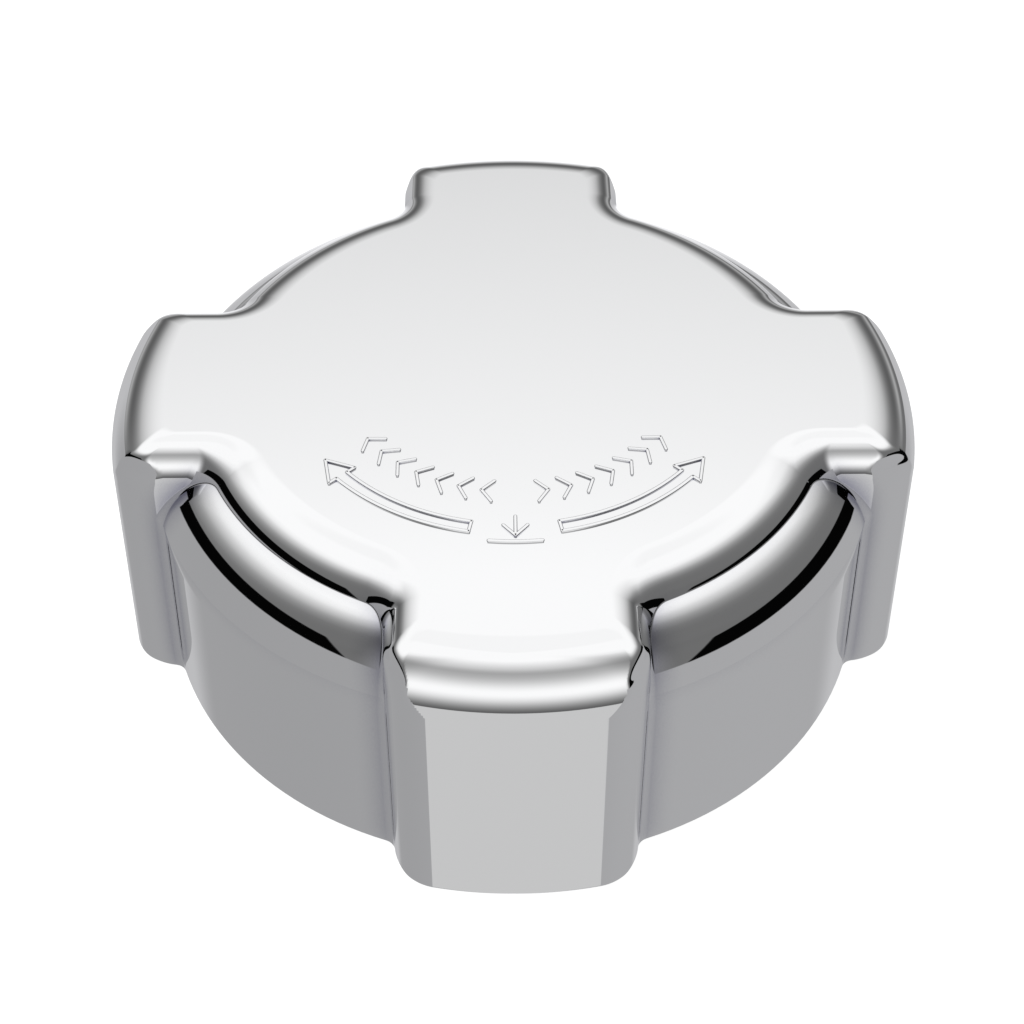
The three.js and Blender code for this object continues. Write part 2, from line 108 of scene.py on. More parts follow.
def grid_faces(rows, columns):
    """Quads of a grid whose points are stored row by row."""
    first = (np.arange(rows - 1)[:, None] * columns + np.arange(columns - 1)[None, :]).ravel()
    return np.stack([first, first + 1, first + columns + 1, first + columns], axis=1)


def facing(points, normals, faces):
    """The faces, each turned so that it looks the way its points' normals do."""
    a, b, c, d = (points[faces[:, i]] for i in range(4))
    turn = np.cross(c - a, d - b)
    wrong = np.einsum("ij,ij->i", turn, normals[faces].sum(1)) < 0
    faces = faces.copy()
    faces[wrong] = faces[wrong][:, ::-1]
    return faces


class Surface:
    """Points with normals and quads, collected patch by patch and welded into one mesh.

    A crease stays sharp, because each patch keeps its own normals along the seam.
    """

    def __init__(self):
        self.points = []
        self.normals = []
        self.faces = []
        self.count = 0

    def add(self, points, normals, faces):
        points = np.asarray(points, float).reshape(-1, 3)
        normals = unit(np.asarray(normals, float).reshape(-1, 3))
        self.faces.append(facing(points, normals, np.asarray(faces)) + self.count)
        self.points.append(points)
        self.normals.append(normals)
        self.count += len(points)

    def add_grid(self, points, normals):
        rows, columns = points.shape[:2]
        self.add(points, normals, grid_faces(rows, columns))

    def add_surface(self, other, x=0.0, y=0.0):
        for points, normals, faces in zip(other.points, other.normals, other.faces):
            self.faces.append(faces + self.count)
            self.points.append(points + np.array([x, y, 0]))
            self.normals.append(normals)
        self.count += other.count

    def mesh_object(self, name, weld=0.002):
        points = np.concatenate(self.points)
        normals = np.concatenate(self.normals)
        tree = kdtree.KDTree(len(points))
        for i, point in enumerate(points):
            tree.insert(point, i)
        tree.balance()
        place = np.full(len(points), -1)
        kept = []
        for i, point in enumerate(points):
            if place[i] < 0:
                for _, j, _ in tree.find_range(point, weld):
                    if place[j] < 0:
                        place[j] = len(kept)
                kept.append(point * MM)
        faces, corner_normals = [], []
        for face in np.concatenate(self.faces):
            corners = [k for k in range(len(face)) if place[face[k]] != place[face[k - 1]]]
            if len(corners) > 2 and len({place[face[k]] for k in corners}) == len(corners):
                faces.append([int(place[face[k]]) for k in corners])
                corner_normals.extend(normals[face[k]].tolist() for k in corners)
        mesh = bpy.data.meshes.new(name)
        mesh.from_pydata([tuple(point) for point in kept], [], faces)
        mesh.polygons.foreach_set("use_smooth", [True] * len(mesh.polygons))
        mesh.normals_split_custom_set(corner_normals)
        made = bpy.data.objects.new(name, mesh)
        bpy.context.scene.collection.objects.link(made)
        return made


# ---- the cover ----

PLATE, HOLLOW, SIDE, CORNER, TIP = range(5)
WALL_START = math.pi / 2 - DRAFT
LAST = 1 - 1e-9         # the end of a part of the outline, just before the next part starts
STEP = 1e-4             # the step in t and q over which a direction is measured
SEARCH_DEPTH = 0.8      # how far under the rounding the drum is looked for, in q
SEARCH_STEPS = 240


def side_inset(depth, rounding):
    """How far a rounded edge stands in from the wall at a depth under the top."""
    up = np.clip(rounding - depth, 0, None)
    return rounding - np.sqrt(np.clip(rounding ** 2 - up ** 2, 0, None))


class Cover:
    """The cover's outer skin (skin 0) or its inner one: a rounded cross standing on a round drum.

    t runs along an eighth of the outline, from the middle of a plate edge (0) to the middle of a lobe
    end (5), one unit for each of plate, hollow, side, corner and tip. q is an angle on the top
    rounding, then a way down the wall in centimetres.
    """

    def __init__(self, skin, lowest):
        self.skin = skin
        self.lowest = lowest
        self.height = HEIGHT - skin
        self.tip_rounding = TIP_ROUNDING - skin
        self.side_rounding = SIDE_ROUNDING - skin
        self.lobe_radius = LOBE_RADIUS - skin
        self.half_width = LOBE_HALF_WIDTH - skin
        self.corner = LOBE_CORNER - skin
        self.plate_radius = PLATE_RADIUS - skin
        self.hollow = PLATE_CORNER + skin
        self.hollow_y = LOBE_HALF_WIDTH + PLATE_CORNER
        self.skirt_radius = SKIRT_RADIUS - skin
        self.drum_rounding = SHOULDER_ROUNDING - skin
        self.drum_centre = SKIRT_RADIUS - SHOULDER_ROUNDING
        self.drum_level = SHOULDER_HEIGHT - SHOULDER_ROUNDING

    def profile(self, q):
        """Inset of the tips and the plate, inset of the sides, spread by the draft, and height."""
        down_wall = np.clip(q - WALL_START, 0, None) * 10
        angle = np.minimum(q, WALL_START)
        height = self.height - self.tip_rounding * (1 - np.cos(angle)) - down_wall * math.cos(DRAFT)
        spread = down_wall * math.sin(DRAFT)
        tip_inset = self.tip_rounding * (1 - np.sin(angle)) - spread
        return tip_inset, side_inset(self.height - height, self.side_rounding), spread, height

    def q_at(self, height):
        wall_top = self.profile(WALL_START)[3]
        if height > wall_top:
            return math.acos(1 - (self.height - height) / self.tip_rounding)
        return WALL_START + (wall_top - height) / math.cos(DRAFT) / 10

    def place(self, t, q):
        """Point and plan direction of the cross at t and q."""
        t, q = np.broadcast_arrays(np.asarray(t, float), np.asarray(q, float))
        tip_inset, across_inset, spread, height = self.profile(q)
        plate = self.plate_radius - tip_inset
        hollow = self.hollow + across_inset
        side_y = self.half_width - across_inset
        tip = self.lobe_radius - tip_inset
        hollow_x = np.sqrt((plate + hollow) ** 2 - self.hollow_y ** 2)
        hollow_turn = np.arctan2(self.hollow_y, hollow_x)
        # the upright corner stays put; the roundings of tip and side cut into it
        corner_y = self.half_width - self.corner
        corner_x = np.sqrt((self.lobe_radius + spread - self.corner) ** 2 - corner_y ** 2)
        tip_end = np.arctan2(corner_y, corner_x)
        part = np.clip(np.floor(t), 0, 4)
        f = t - part
        plate_angle = math.pi / LOBES + (hollow_turn - math.pi / LOBES) * f
        hollow_angle = math.pi + hollow_turn + (math.pi / 2 - hollow_turn) * f
        corner_angle = math.pi / 2 + (tip_end - math.pi / 2) * f
        # a ray from a centre inside the lobe meets the rounded cross, or first the upright corner
        centre_x = corner_x - CENTRE_SHIFT * np.cos(tip_end)
        centre_y = corner_y - CENTRE_SHIFT * np.sin(tip_end)
        ray_x, ray_y = np.cos(corner_angle), np.sin(corner_angle)
        away = centre_x * ray_x + centre_y * ray_y
        to_tip = np.sqrt(away ** 2 + tip ** 2 - centre_x ** 2 - centre_y ** 2) - away
        to_side = (side_y - centre_y) / np.maximum(ray_y, 1e-6)
        toward = CENTRE_SHIFT * np.cos(corner_angle - tip_end)
        to_corner = toward + np.sqrt(toward ** 2 + self.corner ** 2 - CENTRE_SHIFT ** 2)
        to_corner = np.where(centre_x + to_corner * ray_x < corner_x, np.inf, to_corner)
        last_angle = np.arctan2(corner_y + self.corner - centre_y, corner_x - centre_x)
        share = np.clip((corner_angle - tip_end) / (last_angle - tip_end), 0, 1)
        crease = CREASE_BLEND * np.sin(math.pi * share) ** 2
        low = smooth_step(HEIGHT - CORNER_BLEND_TOP, HEIGHT - CORNER_BLEND_FOOT, height + self.skin)
        blend = TOP_CORNER_BLEND + (LOW_CORNER_BLEND - TOP_CORNER_BLEND) * low
        corner = soft_min(soft_min(to_tip, to_side, blend), to_corner, crease)
        tip_angle = tip_end * (1 - f)
        choose = [part == i for i in range(5)]
        x = np.select(choose, [
            plate * np.cos(plate_angle), hollow_x + hollow * np.cos(hollow_angle),
            hollow_x + (centre_x - hollow_x) * f, centre_x + corner * ray_x, tip * np.cos(tip_angle)])
        y = np.select(choose, [
            plate * np.sin(plate_angle), self.hollow_y + hollow * np.sin(hollow_angle), side_y,
            centre_y + corner * ray_y, tip * np.sin(tip_angle)])
        # the corner's own direction is measured in point()
        along_x = np.select(choose, [
            np.sin(plate_angle), -np.sin(hollow_angle), np.ones_like(f), ray_y, np.sin(tip_angle)])
        along_y = np.select(choose, [
            -np.cos(plate_angle), np.cos(hollow_angle), np.zeros_like(f), -ray_x, -np.cos(tip_angle)])
        return np.stack([x, y, height], -1), np.stack([along_x, along_y, np.zeros_like(f)], -1)

    def point(self, t, q):
        """Point and outward normal of the cross."""
        t, q = np.broadcast_arrays(np.asarray(t, float), np.asarray(q, float))
        point, along = self.place(t, q)
        part = np.clip(np.floor(t), 0, 4)
        after = self.place(np.minimum(t + STEP, part + LAST), q)[0]
        before = self.place(np.maximum(t - STEP, part), q)[0]
        along = np.where((part == CORNER)[..., None], after - before, along)
        down = self.place(t, q + STEP)[0] - self.place(t, np.maximum(q - STEP, 0))[0]
        return point, unit(np.cross(unit(along), down))

    def drum_distance(self, points):
        reach = np.hypot(points[..., 0], points[..., 1])
        over = np.clip(points[..., 2] - self.drum_level, 0, None)
        shoulder = np.hypot(reach - self.drum_centre, over) - self.drum_rounding
        return np.where(points[..., 2] > self.drum_level, shoulder, reach - self.skirt_radius)

    def drum_normal(self, points):
        reach = np.hypot(points[..., 0], points[..., 1])
        over = np.clip(points[..., 2] - self.drum_level, 0, None)
        out = (reach - self.drum_centre) / reach
        return unit(np.stack([points[..., 0] * out, points[..., 1] * out, over], -1))

    def ball_radius(self, height):
        """The hollow fillet's radius, which shrinks from the wall up to the top of the shoulder."""
        upward = smooth_step(self.drum_level, SHOULDER_HEIGHT - 1, height + self.skin)
        return CORNER_FILLET + (FOOT_FILLET - CORNER_FILLET) * upward + self.skin

    def ball_gap(self, t, q):
        """How far a ball that rests on the cross at t, q is from touching the drum as well."""
        point, normal = self.point(t, q)
        radius = self.ball_radius(point[..., 2])
        return self.drum_distance(point + normal * radius[..., None]) - radius

    def first_touch(self, t):
        """The q at which the rolling ball touches the drum, going down from the top at t."""
        steps = np.linspace(0, WALL_START + SEARCH_DEPTH, SEARCH_STEPS)
        gaps = self.ball_gap(t[:, None], steps[None, :])
        index = np.argmax(gaps < 0, axis=1)
        return bisect(lambda q: self.ball_gap(t, q), steps[index - 1], steps[index])

    def wedge(self):
        """An eighth of this skin as patches of points and normals, with its lower and upper edges."""
        plate_count, hollow_count, side_count, top_rows = 12, 14, 4, 44
        shoulder_rows, wall_rows, across_count, corner_count, tip_count, fillet_rows = 30, 7, 9, 32, 13, 6
        side_split, corner_split = 2.3, 3.4

        upper_t = np.concatenate([
            np.linspace(0, 1, plate_count + 1), np.linspace(1, 2, hollow_count + 1)[1:],
            np.linspace(2, side_split, side_count + 1)[1:]])
        upper_q = self.first_touch(upper_t)
        share = np.linspace(0, 1, top_rows + 1)
        patches = [self.point(upper_t[None, :], share[:, None] * upper_q[None, :])]

        heights = np.concatenate([
            np.linspace(self.profile(upper_q[-1])[3], self.drum_level, shoulder_rows)[1:],
            np.linspace(self.drum_level, self.lowest, wall_rows)[1:]])
        lower_q = np.array([self.q_at(height) for height in heights])
        lower_t = bisect(lambda t: self.ball_gap(t, lower_q), np.full(len(lower_q), corner_split),
                         np.full(len(lower_q), 2.0))
        rows_q = np.concatenate([share * upper_q[-1], lower_q])[:, None]
        start = np.concatenate([np.full(top_rows + 1, side_split), lower_t])[:, None]
        side_end = np.maximum(start, 2 + LAST)
        corner_start = np.maximum(start, 3)
        across = np.linspace(0, 1, across_count)[None, :]
        side = self.point(start + (side_end - start) * across, rows_q)
        corner_rest = np.linspace(corner_split, 3 + LAST, corner_count + 1)[None, 1:]
        corner_t = np.concatenate([
            corner_start + (corner_split - corner_start) * across,
            np.broadcast_to(corner_rest, (len(rows_q), corner_count))], axis=1)
        corner = self.point(corner_t, rows_q)
        tip = self.point(np.linspace(4, 4 + LAST, tip_count)[None, :], rows_q)
        patches += [side, corner, tip]

        # the hollow fillet between the cross and the drum, then the drum
        foot_t, foot_q = np.concatenate([upper_t, lower_t]), np.concatenate([upper_q, lower_q])
        foot, foot_normal = self.point(foot_t, foot_q)
        radius = self.ball_radius(foot[:, 2])[:, None]
        ball = foot + foot_normal * radius
        far_normal = self.drum_normal(ball)
        bend = np.linspace(0, 1, fillet_rows)[None, :, None]
        opening = np.arccos(np.clip(np.einsum("ij,ij->i", foot_normal, far_normal), -1, 1))[:, None, None]
        fillet_normal = (np.sin((1 - bend) * opening) * foot_normal[:, None]
                         + np.sin(bend * opening) * far_normal[:, None]) / np.sin(opening)
        fillet = ball[:, None] - fillet_normal * radius[:, None]
        patches.append((fillet, fillet_normal))

        edge = fillet[:, -1]
        below = edge[plate_count + 1:]
        starts = np.arctan2(below[:, 1], below[:, 0])[:, None]
        reach = np.hypot(below[:, 0], below[:, 1])[:, None]
        angles = starts + (math.pi / LOBES - starts) * np.linspace(0, 1, plate_count + 1)[None, :]
        level = np.repeat(below[:, 2:], plate_count + 1, 1)
        rest = np.stack([reach * np.cos(angles), reach * np.sin(angles), level], -1)
        drum = np.concatenate([edge[:plate_count + 1][::-1][None], rest])
        drum_normal = self.drum_normal(drum)
        patches.append((drum, drum_normal))

        lower_edge = [
            (tip[0][-1][::-1], tip[1][-1][::-1]), (corner[0][-1][::-1], corner[1][-1][::-1]),
            (fillet[-1], fillet_normal[-1]), (drum[-1], drum_normal[-1])]
        upper_edge = np.concatenate([patches[0][0][0], side[0][0], corner[0][0], tip[0][0]])
        rim_points = np.concatenate([points for points, _ in lower_edge])
        rim_normals = np.concatenate([normals for _, normals in lower_edge])
        return patches, rim_points, rim_normals, upper_edge


def bisect(gap, low, high):
    """Where gap changes sign between low (positive) and high (negative), for each entry."""
    for _ in range(48):
        middle = 0.5 * (low + high)
        outside = gap(middle) > 0
        low = np.where(outside, middle, low)
        high = np.where(outside, high, middle)
    return 0.5 * (low + high)


def quarter_round(points, normals, rounding, outward):
    """Rows that carry a wall down to the rim plane round a small edge."""
    level = unit(normals * np.array([1, 1, 0]))
    rows, row_normals = [], []
    for angle in np.linspace(0, math.pi / 2, 5):
        place = points - level * rounding * (1 - math.cos(angle)) * outward
        place[:, 2] = points[:, 2] * (1 - math.sin(angle))
        rows.append(place)
        row_normals.append(level * math.cos(angle) * outward - np.array([0, 0, math.sin(angle)]))
    return rows, row_normals


def flat_fan(edge, height, up):
    """The flat between the outline's inner edge and the axis."""
    points = edge[None] * np.linspace(0, 1, 5)[:, None, None]
    points[..., 2] = height
    normals = np.zeros_like(points)
    normals[..., 2] = up
    return points, normals


def cover_shell():
    outside, inside = Cover(0.0, RIM_ROUNDING), Cover(WALL, INNER_RIM_ROUNDING)
    patches, rim, rim_normals, top_edge = outside.wedge()
    inner_patches, inner_rim, inner_rim_normals, inner_edge = inside.wedge()
    wedge = patches + [(points, -normals) for points, normals in inner_patches]
    outer_rows, outer_normals = quarter_round(rim, rim_normals, RIM_ROUNDING, 1)
    inner_rows, inner_normals = quarter_round(inner_rim, inner_rim_normals, INNER_RIM_ROUNDING, -1)
    wedge.append((np.array(outer_rows + inner_rows[::-1]), np.array(outer_normals + inner_normals[::-1])))
    wedge.append(flat_fan(top_edge, outside.height, 1))
    wedge.append(flat_fan(inner_edge, inside.height, -1))
    surface = Surface()
    for k in range(LOBES):
        angle = k * TAU / LOBES
        for side in (1, -1):
            turn = np.array([
                [math.cos(angle), -side * math.sin(angle), 0],
                [math.sin(angle), side * math.cos(angle), 0],
                [0, 0, 1]])
            for points, normals in wedge:
                surface.add_grid(points @ turn.T, normals @ turn.T)
    return surface


# ---- turned parts ----

def rounded_section(corners, steps=4):
    """Points and normals of a closed section in (radius, height); a corner is (radius, height, rounding)."""
    area = sum(a[0] * b[1] - b[0] * a[1] for a, b in zip(corners, corners[1:] + corners[:1]))
    if area < 0:
        corners = corners[::-1]
    points, normals = [], []
    for i, corner in enumerate(corners):
        here = np.array(corner[:2], float)
        before = np.array(corners[i - 1][:2], float)
        after = np.array(corners[(i + 1) % len(corners)][:2], float)
        into, out = unit(here - before), unit(after - here)
        normal_in = np.array([into[1], -into[0]])
        normal_out = np.array([out[1], -out[0]])
        if here[0] < 1e-9:
            points.append(here)
            normals.append(normal_out if before[0] < 1e-9 else normal_in)
            continue
        bend = math.atan2(into[0] * out[1] - into[1] * out[0], float(into @ out))
        if abs(bend) < 1e-6:
            continue
        rounding = corner[2] if len(corner) > 2 else 0.1
        side = math.copysign(1, bend)
        trim = rounding * math.tan(abs(bend) / 2)
        centre = here - into * trim - normal_in * rounding * side
        for j in range(steps + 1):
            turn = bend * j / steps
            normal = np.array([
                normal_in[0] * math.cos(turn) - normal_in[1] * math.sin(turn),
                normal_in[0] * math.sin(turn) + normal_in[1] * math.cos(turn)])
            points.append(centre + normal * rounding * side)
            normals.append(normal)
    return np.array(points), np.array(normals)


def turned(corners, segments=144, steps=4):
    """A surface of revolution about Z. A solid disc has two corners at radius zero, one after the other."""
    points, normals = rounded_section(corners, steps)
    on_axis = points[:, 0] < 1e-9
    if on_axis.any():
        start = next(i for i in range(len(points)) if on_axis[i] and on_axis[i - 1])
        points, normals = np.roll(points, -start, 0), np.roll(normals, -start, 0)
    else:
        points = np.concatenate([points, points[:1]])
        normals = np.concatenate([normals, normals[:1]])
    angles = np.linspace(0, TAU, segments + 1)[None, :]
    c, s = np.cos(angles), np.sin(angles)
    level = np.ones_like(c)
    grid = np.stack([points[:, :1] * c, points[:, :1] * s, points[:, 1:] * level], -1)
    grid_normals = np.stack([normals[:, :1] * c, normals[:, :1] * s, normals[:, 1:] * level], -1)
    surface = Surface()
    surface.add_grid(grid, grid_normals)
    return surface


# ---- materials ----

def plug(tree, socket, value):
    if isinstance(value, bpy.types.NodeSocket):
        tree.links.new(value, socket)
    else:
        socket.default_value = value


def add_node(tree, kind, inputs, output=0, **settings):
    """A shader node with its inputs set or linked. Returns one of its outputs."""
    made = tree.nodes.new(kind)
    for key, value in settings.items():
        setattr(made, key, value)
    for key, value in inputs.items():
        plug(tree, made.inputs[key], value)
    return made.outputs[output]


class Shader:
    """A short way to write a material's nodes."""

    def __init__(self, name):
        self.material = bpy.data.materials.new(name)
        self.material.use_nodes = True
        self.tree = self.material.node_tree
        self.surface = self.tree.nodes["Principled BSDF"]
        coordinates = self.tree.nodes.new("ShaderNodeTexCoord")
        self.place = coordinates.outputs["Object"]

    def node(self, kind, inputs, output=0, **settings):
        return add_node(self.tree, kind, inputs, output, **settings)

    def math(self, operation, a, b=0.0):
        return self.node("ShaderNodeMath", {0: a, 1: b}, operation=operation)

    def noise(self, scale, detail=4.0, roughness=0.55, stretch=(1, 1, 1)):
        place = self.node("ShaderNodeMapping", {"Vector": self.place, "Scale": stretch})
        inputs = {"Vector": place, "Scale": scale, "Detail": detail, "Roughness": roughness}
        return self.node("ShaderNodeTexNoise", inputs)

    def range(self, value, low, high, out_low, out_high):
        inputs = {"Value": value, "From Min": low, "From Max": high, "To Min": out_low, "To Max": out_high}
        return self.node("ShaderNodeMapRange", inputs)

    def blend(self, share, first, second):
        made = self.tree.nodes.new("ShaderNodeMix")
        made.data_type = "RGBA"
        for socket, value in ((0, share), (6, first), (7, second)):
            plug(self.tree, made.inputs[socket], value)
        return made.outputs[2]

    def bump(self, height, distance, strength=1.0):
        return self.node("ShaderNodeBump", {"Height": height, "Distance": distance, "Strength": strength})

    def finish(self, **inputs):
        for key, value in inputs.items():
            plug(self.tree, self.surface.inputs[key.replace("_", " ").title()], value)
        return self.material


def rgb(red, green, blue):
    return (red, green, blue, 1.0)


def chrome():
    """Bright plating: faint wipe marks and haze, with painted shade that makes it darker and lilac-grey in
    the hollows.
    """
    m = Shader("chrome_shell")
    haze = m.range(m.noise(38, 3), 0.45, 0.75, 0.0, 1.0)
    wipes = m.range(m.noise(260, 2, 0.5, (1, 0.06, 1)), 0.60, 0.74, 0.0, 1.0)
    rough = m.math("ADD", m.math("MULTIPLY", haze, 0.012), m.math("MULTIPLY", wipes, 0.018))
    rough = m.math("ADD", rough, 0.018)
    # painted shade: ambient occlusion darkens the chrome's colour towards a lilac grey in hollows, creases
    # and corners
    ao_for_painted_shade = m.node("ShaderNodeAmbientOcclusion", {"Distance": 0.006}, "AO", samples=8, only_local=True)
    unshaded_share = m.range(ao_for_painted_shade, 0.70, 0.97, 0.0, 1.0)
    color = m.blend(unshaded_share, rgb(0.36, 0.36, 0.46), rgb(0.955, 0.958, 0.965))
    return m.finish(base_color=color, metallic=1.0, roughness=rough,
                    normal=m.bump(m.noise(900, 2), 0.0000006, 0.5))


def black_nylon():
    """Glass-filled moulding: fine fibre speckle, flow marks and slightly polished high spots."""
    m = Shader("black_nylon")
    fibres = m.noise(1900, 5, 0.7, (1, 1, 0.3))
    flow = m.noise(60, 3, 0.6, (1, 1, 0.25))
    color = m.blend(m.range(fibres, 0.45, 0.75, 0.0, 1.0), rgb(0.012, 0.012, 0.013), rgb(0.045, 0.045, 0.047))
    rough = m.range(flow, 0.3, 0.7, 0.42, 0.62)
    return m.finish(base_color=color, roughness=rough, normal=m.bump(fibres, 0.00005, 0.6))


def zinc_plate():
    """Stamped and zinc plated steel: spangle, a slight yellow and blue cast, rolling marks."""
    m = Shader("zinc_plate")
    cast = m.noise(55, 4, 0.6)
    grain = m.noise(900, 3, 0.6, (1, 0.08, 1))
    warm = m.blend(m.range(cast, 0.35, 0.65, 0.0, 1.0), rgb(0.56, 0.58, 0.60), rgb(0.66, 0.62, 0.50))
    color = m.blend(m.range(grain, 0.5, 0.8, 0.0, 0.5), warm, rgb(0.40, 0.40, 0.39))
    rough = m.range(grain, 0.3, 0.8, 0.26, 0.46)
    return m.finish(base_color=color, metallic=1.0, roughness=rough, normal=m.bump(grain, 0.00002, 0.5))


def spring_steel():
    """Drawn wire and stamped spring steel: dark oil film, drawing marks."""
    m = Shader("spring_steel")
    film = m.noise(130, 4)
    marks = m.noise(1500, 2, 0.5, (1, 1, 0.1))
    color = m.blend(m.range(film, 0.35, 0.7, 0.0, 1.0), rgb(0.44, 0.45, 0.47), rgb(0.24, 0.23, 0.22))
    rough = m.range(marks, 0.3, 0.7, 0.22, 0.40)
    return m.finish(base_color=color, metallic=1.0, roughness=rough, normal=m.bump(marks, 0.00001, 0.4))


def brass():
    """Turned brass: fine rings from the lathe and brown tarnish in patches."""
    m = Shader("brass")
    rings = m.node("ShaderNodeTexWave", {"Vector": m.place, "Scale": 900.0, "Distortion": 1.5, "Detail": 2.0},
                   1, wave_type="RINGS", rings_direction="Z")
    tarnish = m.range(m.noise(170, 5, 0.65), 0.45, 0.72, 0.0, 1.0)
    color = m.blend(tarnish, rgb(0.74, 0.56, 0.27), rgb(0.40, 0.26, 0.11))
    rough = m.math("ADD", m.range(rings, 0.0, 1.0, 0.20, 0.30), m.math("MULTIPLY", tarnish, 0.22))
    return m.finish(base_color=color, metallic=1.0, roughness=rough, normal=m.bump(rings, 0.000008, 0.5))


def acetal():
    """Natural acetal: waxy off-white with faint machining rings and grey handling marks."""
    m = Shader("acetal")
    marks = m.range(m.noise(240, 4, 0.6), 0.52, 0.75, 0.0, 1.0)
    rings = m.node("ShaderNodeTexWave", {"Vector": m.place, "Scale": 700.0, "Distortion": 0.8}, 1,
                   wave_type="RINGS", rings_direction="Z")
    color = m.blend(marks, rgb(0.80, 0.79, 0.74), rgb(0.52, 0.50, 0.46))
    return m.finish(base_color=color, roughness=m.range(rings, 0.0, 1.0, 0.36, 0.46),
                    subsurface_weight=0.15, normal=m.bump(rings, 0.000008, 0.4))


def rubber():
    """Moulded nitrile rubber: pebbled skin with a pale bloom of dust."""
    m = Shader("rubber")
    skin = m.noise(1400, 4, 0.6)
    bloom = m.range(m.noise(150, 5, 0.65), 0.5, 0.78, 0.0, 1.0)
    color = m.blend(bloom, rgb(0.016, 0.016, 0.017), rgb(0.070, 0.068, 0.064))
    rough = m.math("ADD", m.range(skin, 0.3, 0.7, 0.62, 0.78), m.math("MULTIPLY", bloom, 0.15))
    return m.finish(base_color=color, roughness=rough, normal=m.bump(skin, 0.00004, 0.6))


MATERIALS = {
    "chrome_shell": chrome(), "black_nylon": black_nylon(), "zinc_plate": zinc_plate(),
    "spring_steel": spring_steel(), "brass": brass(), "acetal": acetal(), "rubber": rubber(),
}


def fit_out(piece, body, finish, *nodes):
    """The piece takes a finish, rides on a body and stands for CAD nodes."""
    piece.data.materials.append(MATERIALS[finish])
    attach(piece, body)
    if nodes:
        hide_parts(*nodes)
    return piece


# ---- swept, cut and softened parts ----

def spring(low_radius, high_radius, wire, bottom, top, turns, closing, sides=16, rows_per_turn=56):
    """Round wire along a coil whose end turns close up, with rounded cut ends."""
    t = np.linspace(0, 1, int(turns * rows_per_turn) + 1)
    rise = t - closing * np.sin(TAU * t) / TAU
    reach = low_radius + (high_radius - low_radius) * t
    angle = TAU * turns * t
    level = bottom + wire + (top - bottom - 2 * wire) * rise
    path = np.stack([reach * np.cos(angle), reach * np.sin(angle), level], -1)
    along = unit(np.gradient(path, axis=0))
    out = np.stack([np.cos(angle), np.sin(angle), np.zeros_like(angle)], -1)
    out = unit(out - along * np.sum(out * along, axis=1, keepdims=True))
    across = np.cross(along, out)
    turn = np.linspace(0, TAU, sides + 1)[None, :, None]
    round_wire = out[:, None] * np.cos(turn) + across[:, None] * np.sin(turn)
    surface = Surface()
    surface.add_grid(path[:, None] + round_wire * wire, round_wire)
    for end, way in ((0, -1), (-1, 1)):
        bend = np.linspace(0, math.pi / 2, 6)[:, None, None]
        normals = round_wire[end][None] * np.cos(bend) + along[end] * way * np.sin(bend)
        surface.add_grid(path[end] + normals * wire, normals)
    return surface


def stroke(path, half_width, low, high, edge=0.18):
    """A thin raised line with round ends and a rounded upper edge, along a path seen from above."""
    path = np.asarray(path, float)
    along = unit(np.gradient(path, axis=0))
    side = np.stack([-along[:, 1], along[:, 0]], -1)
    turn = np.linspace(math.pi / 2, -math.pi / 2, 9)[1:-1, None]
    ends = [way * (side[end] * np.sin(turn) + along[end] * np.cos(turn)) for end, way in ((-1, 1), (0, -1))]
    first, last = np.repeat(path[:1], len(turn), 0), np.repeat(path[-1:], len(turn), 0)
    place = np.concatenate([path, last, path[::-1], first, path[:1]])
    out = np.concatenate([side, ends[0], -side[::-1], ends[1], side[:1]])
    # each row: reach from the path, height, and its normal's outward and upward share
    rows = [(0.0, low, 0.0, -1.0), (half_width, low, 0.0, -1.0), (half_width, low, 1.0, 0.0)]
    for angle in np.linspace(0, math.pi / 2, 4):
        outward, upward = math.cos(angle), math.sin(angle)
        rows.append((half_width - edge * (1 - outward), high - edge * (1 - upward), outward, upward))
    rows.append((0.0, high, 0.0, 1.0))
    points, normals = [], []
    for reach, level, outward, upward in rows:
        points.append(np.column_stack([place + out * reach, np.full(len(place), level)]))
        normals.append(np.column_stack([out * outward, np.full(len(place), upward)]))
    surface = Surface()
    surface.add_grid(np.array(points), np.array(normals))
    return surface


def shade_by_angle(piece, degrees=32):
    """Smooth shading, broken at edges sharper than the angle."""
    piece.data.polygons.foreach_set("use_smooth", [True] * len(piece.data.polygons))
    piece.data.set_sharp_from_angle(angle=math.radians(degrees))


def box_mesh(name, x, y, low, high):
    """A block of half-lengths x and y, used as a cutter."""
    mesh = bpy.data.meshes.new(name)
    bm = bmesh.new()
    bmesh.ops.create_cube(bm, size=2 * MM)
    for vertex in bm.verts:
        top = vertex.co.z > 0
        vertex.co = (vertex.co.x * x, vertex.co.y * y, (high if top else low) * MM)
    bm.to_mesh(mesh)
    bm.free()
    made = bpy.data.objects.new(name, mesh)
    bpy.context.scene.collection.objects.link(made)
    return made


def carved(piece, cutters):
    """The piece without the cutters' space."""
    for cutter in cutters:
        cut = piece.modifiers.new("cut", "BOOLEAN")
        cut.operation = "DIFFERENCE"
        cut.solver = "EXACT"
        cut.object = cutter
    bpy.context.view_layer.update()
    mesh = bpy.data.meshes.new_from_object(piece.evaluated_get(bpy.context.evaluated_depsgraph_get()))
    piece.modifiers.clear()
    piece.data = mesh
    for cutter in cutters:
        bpy.data.objects.remove(cutter)
    return piece


